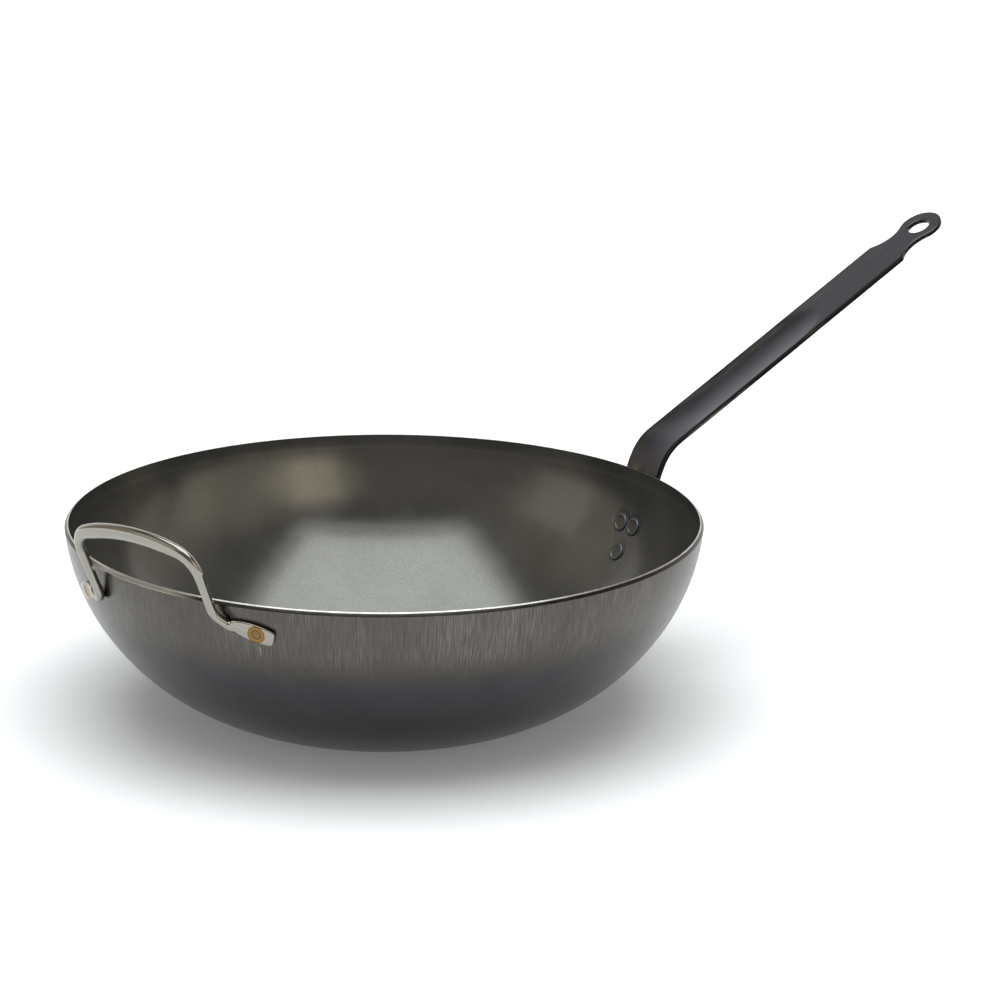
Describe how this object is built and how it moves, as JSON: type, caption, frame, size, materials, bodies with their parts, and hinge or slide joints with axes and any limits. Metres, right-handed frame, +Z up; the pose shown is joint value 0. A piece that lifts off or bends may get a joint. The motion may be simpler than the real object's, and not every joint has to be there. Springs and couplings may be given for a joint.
{
  "type": "wok",
  "caption": "Flat-bottomed round wok of dark steel sheet with a riveted flat strap handle ending in a hanging eye and a welded rod loop opposite.",
  "frame": {"origin": "centre of the flat base, on the surface the wok stands on", "axes": "+Z up out of the bowl's mouth, +X out along the long handle"},
  "size_m": [0.666, 0.3996, 0.266],
  "materials": {
    "dark_steel": "blued and oiled steel sheet, half gloss",
    "black_coated_steel": "near-black, half gloss",
    "rivet_steel": "pressed heads, half gloss",
    "satin_stainless": "satin"
  },
  "bodies": {
    "root": {"bowl": "dark_steel", "long_handle": "black_coated_steel", "rivet_upper_left": "rivet_steel", "rivet_upper_right": "rivet_steel", "rivet_lower": "rivet_steel", "helper_handle": "satin_stainless"}
  },
  "joints": []
}
